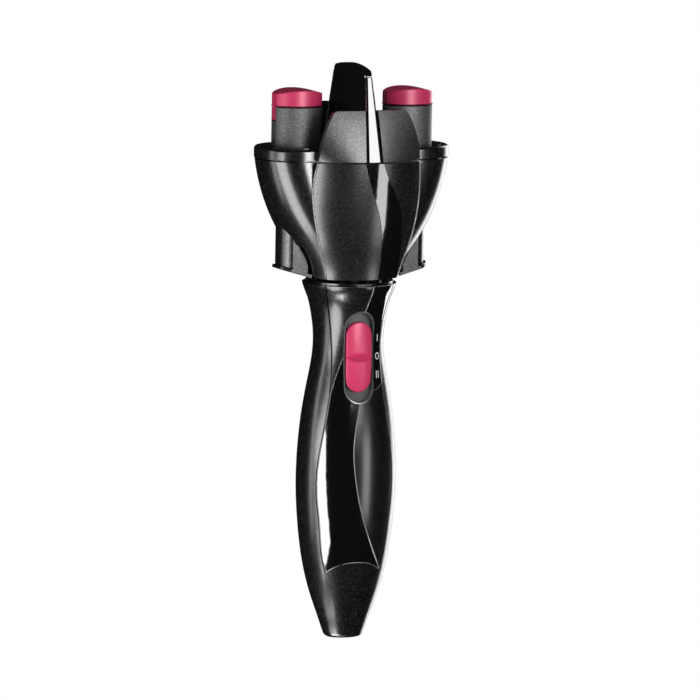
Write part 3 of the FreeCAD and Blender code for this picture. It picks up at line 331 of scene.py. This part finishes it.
# %% Plain parts
MOULDED = 0.4 * MM
BRUSHED = 0.15 * MM
SINTERED = 0.1 * MM
CAST_STRENGTH = 0.12
SMOOTH_STRENGTH = 0.02
CAST_SHADE = 0.86
CAST_GLOSS = 0.1


def plain(name, colour, roughness, metallic=0.0, texture=MOULDED, strength=CAST_STRENGTH):
    """Moulded or metal part with a faint surface texture."""
    finish = Finish(name, Metallic=metallic)
    cast = finish.noise(texture, detail=3.0)
    darker = tuple(CAST_SHADE * c for c in colour) + (1,)
    finish.wire(
        Base_Color=finish.mix(cast, darker, colour + (1,)),
        Roughness=roughness + (cast - 0.5) * CAST_GLOSS,
        Normal=finish.bump(cast, strength, RELIEF))
    return finish.material


mark_grey = plain("mark_grey", (0.62, 0.62, 0.63), roughness=0.5, strength=SMOOTH_STRENGTH)
bezel_grey = plain(
    "bezel_grey", (0.30, 0.30, 0.31), roughness=0.25, metallic=0.8, strength=SMOOTH_STRENGTH)
dark_steel = plain("dark_steel", (0.02, 0.02, 0.022), roughness=0.35, metallic=1.0, texture=BRUSHED)
print("plain finishes:", bezel_grey.name, mark_grey.name, dark_steel.name)

# %% [markdown]
# ## Dress the solids
# Every solid takes the finish of its material slot, and a few take one that suits them better. Smooth
# shading runs over the curved faces and stops at real edges. Those could be marked by hand, but the
# angle between two faces finds them all at once.

# %% One finish for each slot
slot_finish = {
    "satin_black": satin_black,
    "gloss_black": gloss_black,
    "satin_graphite": satin_graphite,
    "pink": pink,
    "bezel_grey": bezel_grey,
    "switch_grey": plain("switch_grey", (0.095, 0.093, 0.096), roughness=0.55),
    "natural_nylon": plain("natural_nylon", (0.78, 0.76, 0.70), roughness=0.5),
    "steel": plain("steel", (0.55, 0.55, 0.56), roughness=0.3, metallic=1.0, texture=BRUSHED),
    "bronze": plain("bronze", (0.60, 0.42, 0.20), roughness=0.4, metallic=1.0, texture=SINTERED),
    "cell_jacket": plain("cell_jacket", (0.10, 0.10, 0.11), roughness=0.3),
    "board": plain("board", (0.02, 0.14, 0.06), roughness=0.4),
    "lead_sleeve": plain("lead_sleeve", (0.35, 0.02, 0.02), roughness=0.5)}
own_finish = {
    "front_petal": petal_black, "back_petal": petal_black,
    "front_shield": shield_black_painted_light, "back_shield": shield_black_painted_light,
    "left_hook_disc": deck_black_painted_shade, "right_hook_disc": deck_black_painted_shade, "neck_collar": deck_black_painted_shade,
    "left_push_tube": tube_black_painted_shade, "right_push_tube": tube_black_painted_shade,
    "head_spindle": dark_steel, "neck_bearing": dark_steel}
print(len(slot_finish), "slots,", len(own_finish), "solids with a finish of their own")

# %% Finish every solid
SHARP_ANGLE = math.radians(28)
slot_of = {part["node"]: part["material_slot"] for part in frame["record"]["subparts"]}


def dress(name, material):
    mesh = nodes[name].data
    mesh.materials.clear()
    mesh.materials.append(material)
    mesh.shade_smooth()
    mesh.set_sharp_from_angle(angle=SHARP_ANGLE)


for name in nodes:
    dress(name, own_finish.get(name, slot_finish[slot_of[name]]))
print("dressed", len(nodes), "solids")

# %% [markdown]
# ## Rim lines
# The mouldings meet in fine beads that show as thin light lines: down both sides of the petals, along
# the gloss ribbon and round the front cover. On the petals and the ribbon the beads wear a lighter paint,
# a painted highlight on top of the light that their round shape catches. A bead could be drawn by hand
# as a curve, but it would have to move whenever the shell changes. So it is found on the solid itself: a
# rim is an edge between the cut side of a panel and its outer skin.


# %% Find the rims
def rim_edges(mesh, is_cut, is_skin, wanted):
    """Edges of a mesh between a cut face and the outer skin, where wanted(middle) holds."""
    found = []
    for edge in mesh.edges:
        if len(edge.link_faces) != 2:
            continue
        middle = (edge.verts[0].co + edge.verts[1].co) / 2
        if not wanted(middle):
            continue
        first, second = (face.normal for face in edge.link_faces)
        if (is_cut(first) and is_skin(second)) or (is_cut(second) and is_skin(first)):
            found.append(edge)
    return found


# %% [markdown]
# Which faces are cut and which are skin is told by their normals, whose parts along the axes run from
# -1 to 1. A panel that is cut straight back has sides that face neither forwards nor backwards.

# %% Tests on a face's normal
STRAIGHT_BACK = 0.03
SIDEWAYS = 0.94
DOWNWARDS = 0.9
OUTWARDS = 0.15
UPRIGHT = 0.3


def cut_straight_back(normal):
    return abs(normal.y) < STRAIGHT_BACK


def cut_sideways(normal):
    return abs(normal.x) > SIDEWAYS


def underside(normal):
    return -normal.z > DOWNWARDS


def front_skin(normal):
    return -normal.y > OUTWARDS


def back_skin(normal):
    return normal.y > OUTWARDS


def upright_skin(normal):
    return abs(normal.z) < UPRIGHT


# %% [markdown]
# The edges of a rim come in no order. They are chained end to end into runs of points, which start at
# the loose ends and then take what is left, so that closed rims are found as well.

# %% Chain the edges
FEWEST_POINTS = 3


def chained(edges):
    """Runs of points along connected edges."""
    nearby = {}
    for edge in edges:
        for vertex in edge.verts:
            nearby.setdefault(vertex, []).append(edge)
    unused = set(edges)
    ends = [vertex for vertex, around in nearby.items() if len(around) == 1]
    runs = []
    for start in ends + list(nearby):
        free = [edge for edge in nearby[start] if edge in unused]
        run = [start.co.copy()]
        vertex = start
        while free:
            unused.discard(free[0])
            vertex = free[0].other_vert(vertex)
            run.append(vertex.co.copy())
            free = [edge for edge in nearby[vertex] if edge in unused]
        if len(run) >= FEWEST_POINTS:
            runs.append(run)
    return runs


# %% [markdown]
# A bead is a curve with a round bevel along the run. A swept mesh would give the same shape, but the
# curve needs no mesh work and its width is one number. Points closer than one step are left out, which
# takes the small jogs of the triangles out of the line.

# %% Lay a bead
SAME_PLACE = 0.001 * MM
RIM_STEP = 0.8 * MM


def thinned(run):
    """Points of a run that lie more than one step apart."""
    spots = [run[0]]
    for spot in run[1:]:
        if (spot - spots[-1]).length > RIM_STEP:
            spots.append(spot)
    return spots


def bead(name, runs, width, material, body):
    """Round bead along runs of points."""
    line = bpy.data.curves.new(name, "CURVE")
    line.dimensions = "3D"
    line.bevel_depth = width / 2
    line.bevel_resolution = 3
    line.use_fill_caps = True
    for spots in map(thinned, runs):
        if len(spots) < FEWEST_POINTS:
            continue
        spline = line.splines.new("POLY")
        spline.points.add(len(spots) - 1)
        for point, spot in zip(spline.points, spots):
            point.co = (*spot, 1)
    line.materials.append(material)
    piece = bpy.data.objects.new(name, line)
    bpy.context.collection.objects.link(piece)
    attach(piece, body)
    print(name, len(line.splines), "lines")


def rims(node, is_cut, is_skin, wanted):
    """Runs of points along the wanted rims of a node."""
    mesh = bmesh.new()
    mesh.from_mesh(nodes[node].data)
    bmesh.ops.remove_doubles(mesh, verts=mesh.verts, dist=SAME_PLACE)
    runs = chained(rim_edges(mesh, is_cut, is_skin, wanted))
    mesh.free()
    return runs


# %% [markdown]
# Each moulding has its own bead. The petals' beads keep to the sides, where the rim swings out to meet
# the lobes. The beads on the grip leave out the switch recess, which has a rim of its own.

# %% Beads on the mouldings
PETAL_BEAD = 0.75 * MM
RIBBON_BEAD = 0.40 * MM
COVER_BEAD = 0.32 * MM
PETAL_WAIST = 15.9 * MM
TOP_MARGIN = 0.5 * MM
RECESS_MARGIN = 0.3 * MM
petal_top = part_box("front_petal")[1][2]
recess_low, recess_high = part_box("switch_bezel")


def petal_side(middle):
    return abs(middle.x) > PETAL_WAIST and middle.z < petal_top - TOP_MARGIN


def off_recess(middle):
    return not all(
        recess_low[axis] - RECESS_MARGIN < middle[axis] < recess_high[axis] + RECESS_MARGIN
        for axis in (0, 2))


# The petal and ribbon beads wear the lighter edge paint, a painted highlight; the cover bead keeps the
# shell's satin.
bead("front_petal_highlight_rims", rims("front_petal", cut_sideways, front_skin, petal_side),
     PETAL_BEAD, satin_edge_painted_highlight, "head")
bead("back_petal_highlight_rims", rims("back_petal", cut_sideways, back_skin, petal_side),
     PETAL_BEAD, satin_edge_painted_highlight, "head")
bead("ribbon_highlight_rims", rims("handle_ribbon", cut_straight_back, front_skin, off_recess),
     RIBBON_BEAD, satin_edge_painted_highlight, "handle")
bead("cover_rims", rims("front_shell", cut_straight_back, front_skin, off_recess),
     COVER_BEAD, satin_black, "handle")

# %% [markdown]
# ## Painted shade at the seams of the caps
# A fine gap in shade parts each pink cap from its post. A real gap would need a groove in both solids. A
# thin bead of nearly black pink along the cap's lower edge paints the gap's shade as a line, and only the
# outer rim of the underside counts, not the edge of the hole inside it.

# %% Cap seams in painted shade
CAP_BEAD = 0.55 * MM
OUTER_SHARE = 0.80


def outer_rim(node):
    """Test that keeps the rims on the outside of one cap."""
    low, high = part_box(node)
    centre = (low[0] + high[0]) / 2
    reach = (high[0] - low[0]) / 2

    def test(middle):
        return ((middle.x - centre) / reach) ** 2 + (middle.y / high[1]) ** 2 > OUTER_SHARE
    return test


# Each bead is painted shade: a dark line for the gap between cap and post.
for side in ("left", "right"):
    cap = side + "_hook_cap"
    bead(side + "_cap_rim", rims(cap, underside, upright_skin, outer_rim(cap)),
         CAP_BEAD, seam_pink_painted_shade, side + "_lift")

# %% [markdown]
# ## Nose of the fin
# The front edge of the real fin runs out round at the crown, and the solid has a small flat there that
# glares. The better mend is a rounder crown in the solid. Until then a short bead of the fin's own
# gloss black lies across the flat. It takes most of the glare and leaves a thin light line.

# %% Fin nose
NOSE_WIDTH = 1.3 * MM
NOSE_REACH = 1.1 * MM
NOSE_DROP = 4.15 * MM
NOSE_BACK = 9.25 * MM
fin_low, fin_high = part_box("divider_fin")
nose = [
    Vector((x, fin_low[1] + NOSE_BACK, fin_high[2] - NOSE_DROP)) for x in (-NOSE_REACH, 0, NOSE_REACH)]
bead("fin_nose", [nose], NOSE_WIDTH, gloss_black, "head")

# %% [markdown]
# ## Return springs
# A spring under each gear pulls its cap back down. When the tube is pushed up, the spring is pressed
# together against the gear instead of rising with the tube. It could be drawn anew for every height.
# Here a copy of the imported helix takes the place of the original and rides on the spool, which keeps
# the wire in its place at rest. It is not flattened as the lift joint moves.

# %% Spring copies on the spools
lift_travel = {
    joint["name"]: joint["range_m"][1] for joint in frame["record"]["behaviour"]["joints"]
    if joint["name"].endswith("_hook_lift")}
for side in ("left", "right"):
    low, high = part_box(side + "_return_spring")
    coil = nodes[side + "_return_spring"].copy()
    coil.name = side + "_spring_coil"
    coil.data = coil.data.copy()
    bpy.context.collection.objects.link(coil)
    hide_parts(side + "_return_spring")
    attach(coil, side + "_spool")
    length = high[2] - low[2]
    (length - lift_travel[side + "_hook_lift"]) / length
    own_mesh(coil)
    print(coil.name, "shortens from", round(length / MM, 1), "mm")

# %% [markdown]
# ## Marks beside the slider
# A bar, a ring and two bars show the slider's three places. They could be a picture on the handle, but
# a picture is lost when only the mesh is kept. So each is a thin band that stands up by a tenth of a
# millimetre, and its points are dropped onto the handle from the front to follow the curve.

# %% Skin of the handle
IN_FRONT = -0.05


def skin(*names):
    """Search tree over the faces of some solids."""
    corners, faces = [], []
    for name in names:
        mesh = nodes[name].data
        first = len(corners)
        corners += [vertex.co.copy() for vertex in mesh.vertices]
        faces += [[first + i for i in face.vertices] for face in mesh.polygons]
    return BVHTree.FromPolygons(corners, faces)


handle_skin = skin("front_shell", "handle_ribbon", "rear_shell")


def on_front(x, z):
    """Point of the handle's front at x and z."""
    return handle_skin.ray_cast(Vector((x, IN_FRONT, z)), Vector((0, 1, 0)))[0]


# %% [markdown]
# A band has four points across: both feet are sunk into the skin, and the flat top between them stands
# proud. Rows of four points along the path are joined by faces, and an open band gets two end faces.

# %% Raised band
MARK_PROUD = 0.10 * MM
FOOT, SHOULDER, SUNK = 0.5, 0.32, -0.5
BAND_SECTION = ((-FOOT, SUNK), (-SHOULDER, 1), (SHOULDER, 1), (FOOT, SUNK))


def directions(path, closed):
    """Unit vector along the path at each of its (x, z) points."""
    last = len(path) - 1
    for i in range(len(path)):
        before = path[i - 1] if closed or i else path[i]
        after = path[(i + 1) % len(path)] if closed or i < last else path[i]
        yield Vector((after[0] - before[0], 0, after[1] - before[1])).normalized()


def raised_band(name, path, width, closed, body, material):
    """Band of the given width along (x, z) points, standing proud of the handle."""
    made = bmesh.new()
    rows = []
    for (x, z), run in zip(path, directions(path, closed)):
        row = []
        for across, proud in BAND_SECTION:
            spot = on_front(x + run.z * across * width, z - run.x * across * width)
            row.append(made.verts.new(spot - Vector((0, proud * MARK_PROUD, 0))))
        rows.append(row)
    for first, second in zip(rows, rows[1:] + rows[:1] if closed else rows[1:]):
        for i in range(len(BAND_SECTION) - 1):
            made.faces.new((first[i], first[i + 1], second[i + 1], second[i]))
    if not closed:
        made.faces.new(rows[0])
        made.faces.new(reversed(rows[-1]))
    bmesh.ops.recalc_face_normals(made, faces=made.faces)
    mesh = bpy.data.meshes.new(name)
    made.to_mesh(mesh)
    mesh.materials.append(material)
    piece = bpy.data.objects.new(name, mesh)
    bpy.context.collection.objects.link(piece)
    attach(piece, body)


# %% Marks
MARK_X = 8.8 * MM
MARK_STROKE = 0.50 * MM
MARK_HEIGHT = 3.0 * MM
MARK_PITCH = 7.6 * MM
RING_ACROSS = 0.30 * MARK_HEIGHT
RING_UP = 0.44 * MARK_HEIGHT
RING_POINTS = 24
BAR_STEPS = 4
low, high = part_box("switch_plate")
switch_z = (low[2] + high[2]) / 2


def bar(x, z):
    return [(x, z + MARK_HEIGHT * (i / BAR_STEPS - 0.5)) for i in range(BAR_STEPS + 1)]


ring = [
    (MARK_X + RING_ACROSS * math.cos(turn), switch_z + RING_UP * math.sin(turn))
    for turn in (math.tau * i / RING_POINTS for i in range(RING_POINTS))]
raised_band("mark_zero", ring, MARK_STROKE, True, "handle", mark_grey)
for name, x, z in (
        ("mark_one", MARK_X, switch_z + MARK_PITCH),
        ("mark_two_left", MARK_X - MARK_STROKE, switch_z - MARK_PITCH),
        ("mark_two_right", MARK_X + MARK_STROKE, switch_z - MARK_PITCH)):
    raised_band(name, bar(x, z), MARK_STROKE, False, "handle", mark_grey)
print("marks at z", [round((switch_z + step * MARK_PITCH) / MM, 1) for step in (1, 0, -1)])

# %% [markdown]
# ## Light
# A small studio of plain soft boxes. A shiny panel shows whatever lies where its reflection points, so
# each lamp is placed for the band that it draws. One big lamp would be simpler, but it would fog the
# gloss black, which has to stay dark.


# %% Soft box
def softbox(name, azimuth, elevation, distance, width, height, watts, level=0.14, roll=0):
    """Rectangular lamp that faces the tool's axis at a level; roll is its lean in degrees."""
    lamp = bpy.data.lights.new(name, "AREA")
    lamp.shape = "RECTANGLE"
    lamp.size = width
    lamp.size_y = height
    lamp.energy = watts
    placed = bpy.data.objects.new(name, lamp)
    bpy.context.collection.objects.link(placed)
    direction = away(azimuth, elevation)
    placed.matrix_world = Matrix.LocRotScale(
        Vector((0, 0, level)) + direction * distance, facing(direction, roll), None)
    print(name, watts, "W")


# %% [markdown]
# From the left, a leaning box draws the bands down the grip and the left lobe, a slim one lights the
# turned-away side, and a low one reaches the undersides. In front, three narrow boxes fill the satin
# of the head and the right of the grip, and the one at the panel also draws the light wedge on the
# petal's ribbon. A large box behind the right side draws the thin bright rim. The one below does
# little: it lifts only the flat end of the grip.

# %% Lamps
softbox("left_box", -60, -17, distance=0.6, width=0.29, height=0.45, watts=2.1, level=0.12, roll=24)
softbox("side_box", -88, 0, distance=0.6, width=0.12, height=0.50, watts=0.4, level=0.10)
softbox("low_left_box", -60, -66, distance=0.6, width=0.25, height=0.20, watts=1.6, level=0.18)
softbox("front_box", 20, 6, distance=0.5, width=0.09, height=0.31, watts=0.42, level=0.223)
softbox("panel_box", 33, 0, distance=0.5, width=0.12, height=0.16, watts=0.16, level=0.0)
softbox("head_box", 8, 0, distance=0.4, width=0.10, height=0.19, watts=0.62, level=0.225)
softbox("right_rim", 125, 0, distance=0.9, width=0.45, height=1.2, watts=5.0)
softbox("under_box", 0, -88, distance=0.9, width=0.3, height=0.3, watts=0.6)

# %% [markdown]
# ## Room
# The camera sees a white backdrop. Reflections see it only in a patch behind the right side, since
# polished black that mirrored white all round would look grey. The backdrop could be a large plane,
# but a plane would also throw its light forward. So it is part of the world's colour, told apart by
# the kind of ray that looks.

# %% World
ROOM = (0.42, 0.42, 0.42, 1)
WHITE = (1, 1, 1, 1)
BACKDROP = away(128, 0)
# Each pair: how straight a reflection looks at the backdrop, and how bright it is there.
BACKDROP_EDGE = (0.90, 0.008)
BACKDROP_MIDDLE = (0.99, 0.55)
world = bpy.data.worlds.new("studio")
bpy.context.scene.world = world
world.use_nodes = True
sky = Net(world.node_tree)
heading = sky.add("ShaderNodeTexCoord", output="Generated")
ahead = sky.add("ShaderNodeVectorMath", {"operation": "DOT_PRODUCT"}, {0: heading, 1: BACKDROP}, "Value")
reflected = sky.ramp(ahead, BACKDROP_EDGE, BACKDROP_MIDDLE)
seen = sky.mix(sky.add("ShaderNodeLightPath", output="Is Glossy Ray"), ROOM, reflected)
seen = sky.mix(sky.add("ShaderNodeLightPath", output="Is Transmission Ray"), seen, WHITE)
seen = sky.mix(sky.add("ShaderNodeLightPath", output="Is Camera Ray"), seen, WHITE)
sky.feed(sky.tree.nodes["Background"].inputs["Color"], seen)
print("world:", world.name)

# %% [markdown]
# ## Floor
# The tool is held in the hand, so the floor lies well below it. It is a plain pale sheet that the
# camera sees as white. More light would whiten it too, but it would also bleach the tool. So a Mix
# Shader gives the camera plain white, without a shadow, and every other ray the pale surface.
# Reflections leave the sheet out, because it would turn the black petals and the grip grey.

# %% Floor
FLOOR_DROP = 1.2
FLOOR_REACH = 8.0
floor_mesh = bpy.data.meshes.new("floor")
corners = [(x * FLOOR_REACH, y * FLOOR_REACH, 0) for x, y in ((-1, -1), (1, -1), (1, 1), (-1, 1))]
floor_mesh.from_pydata(corners, [], [(0, 1, 2, 3)])
floor = bpy.data.objects.new("floor", floor_mesh)
floor.location.z = -FLOOR_DROP
floor.visible_glossy = False
bpy.context.collection.objects.link(floor)
pale = Finish("pale_floor", Base_Color=(0.9, 0.9, 0.9, 1), Roughness=0.6)
lit = pale.add("ShaderNodeEmission", None, {"Color": WHITE, "Strength": 1.0})
blend = pale.add("ShaderNodeMixShader", None, {
    0: pale.add("ShaderNodeLightPath", output="Is Camera Ray"),
    1: Wire(pale, pale.shader.outputs[0]), 2: lit})
pale.feed(pale.tree.nodes["Material Output"].inputs["Surface"], blend)
floor_mesh.materials.append(pale.material)
print("floor", FLOOR_DROP, "m below the tool")
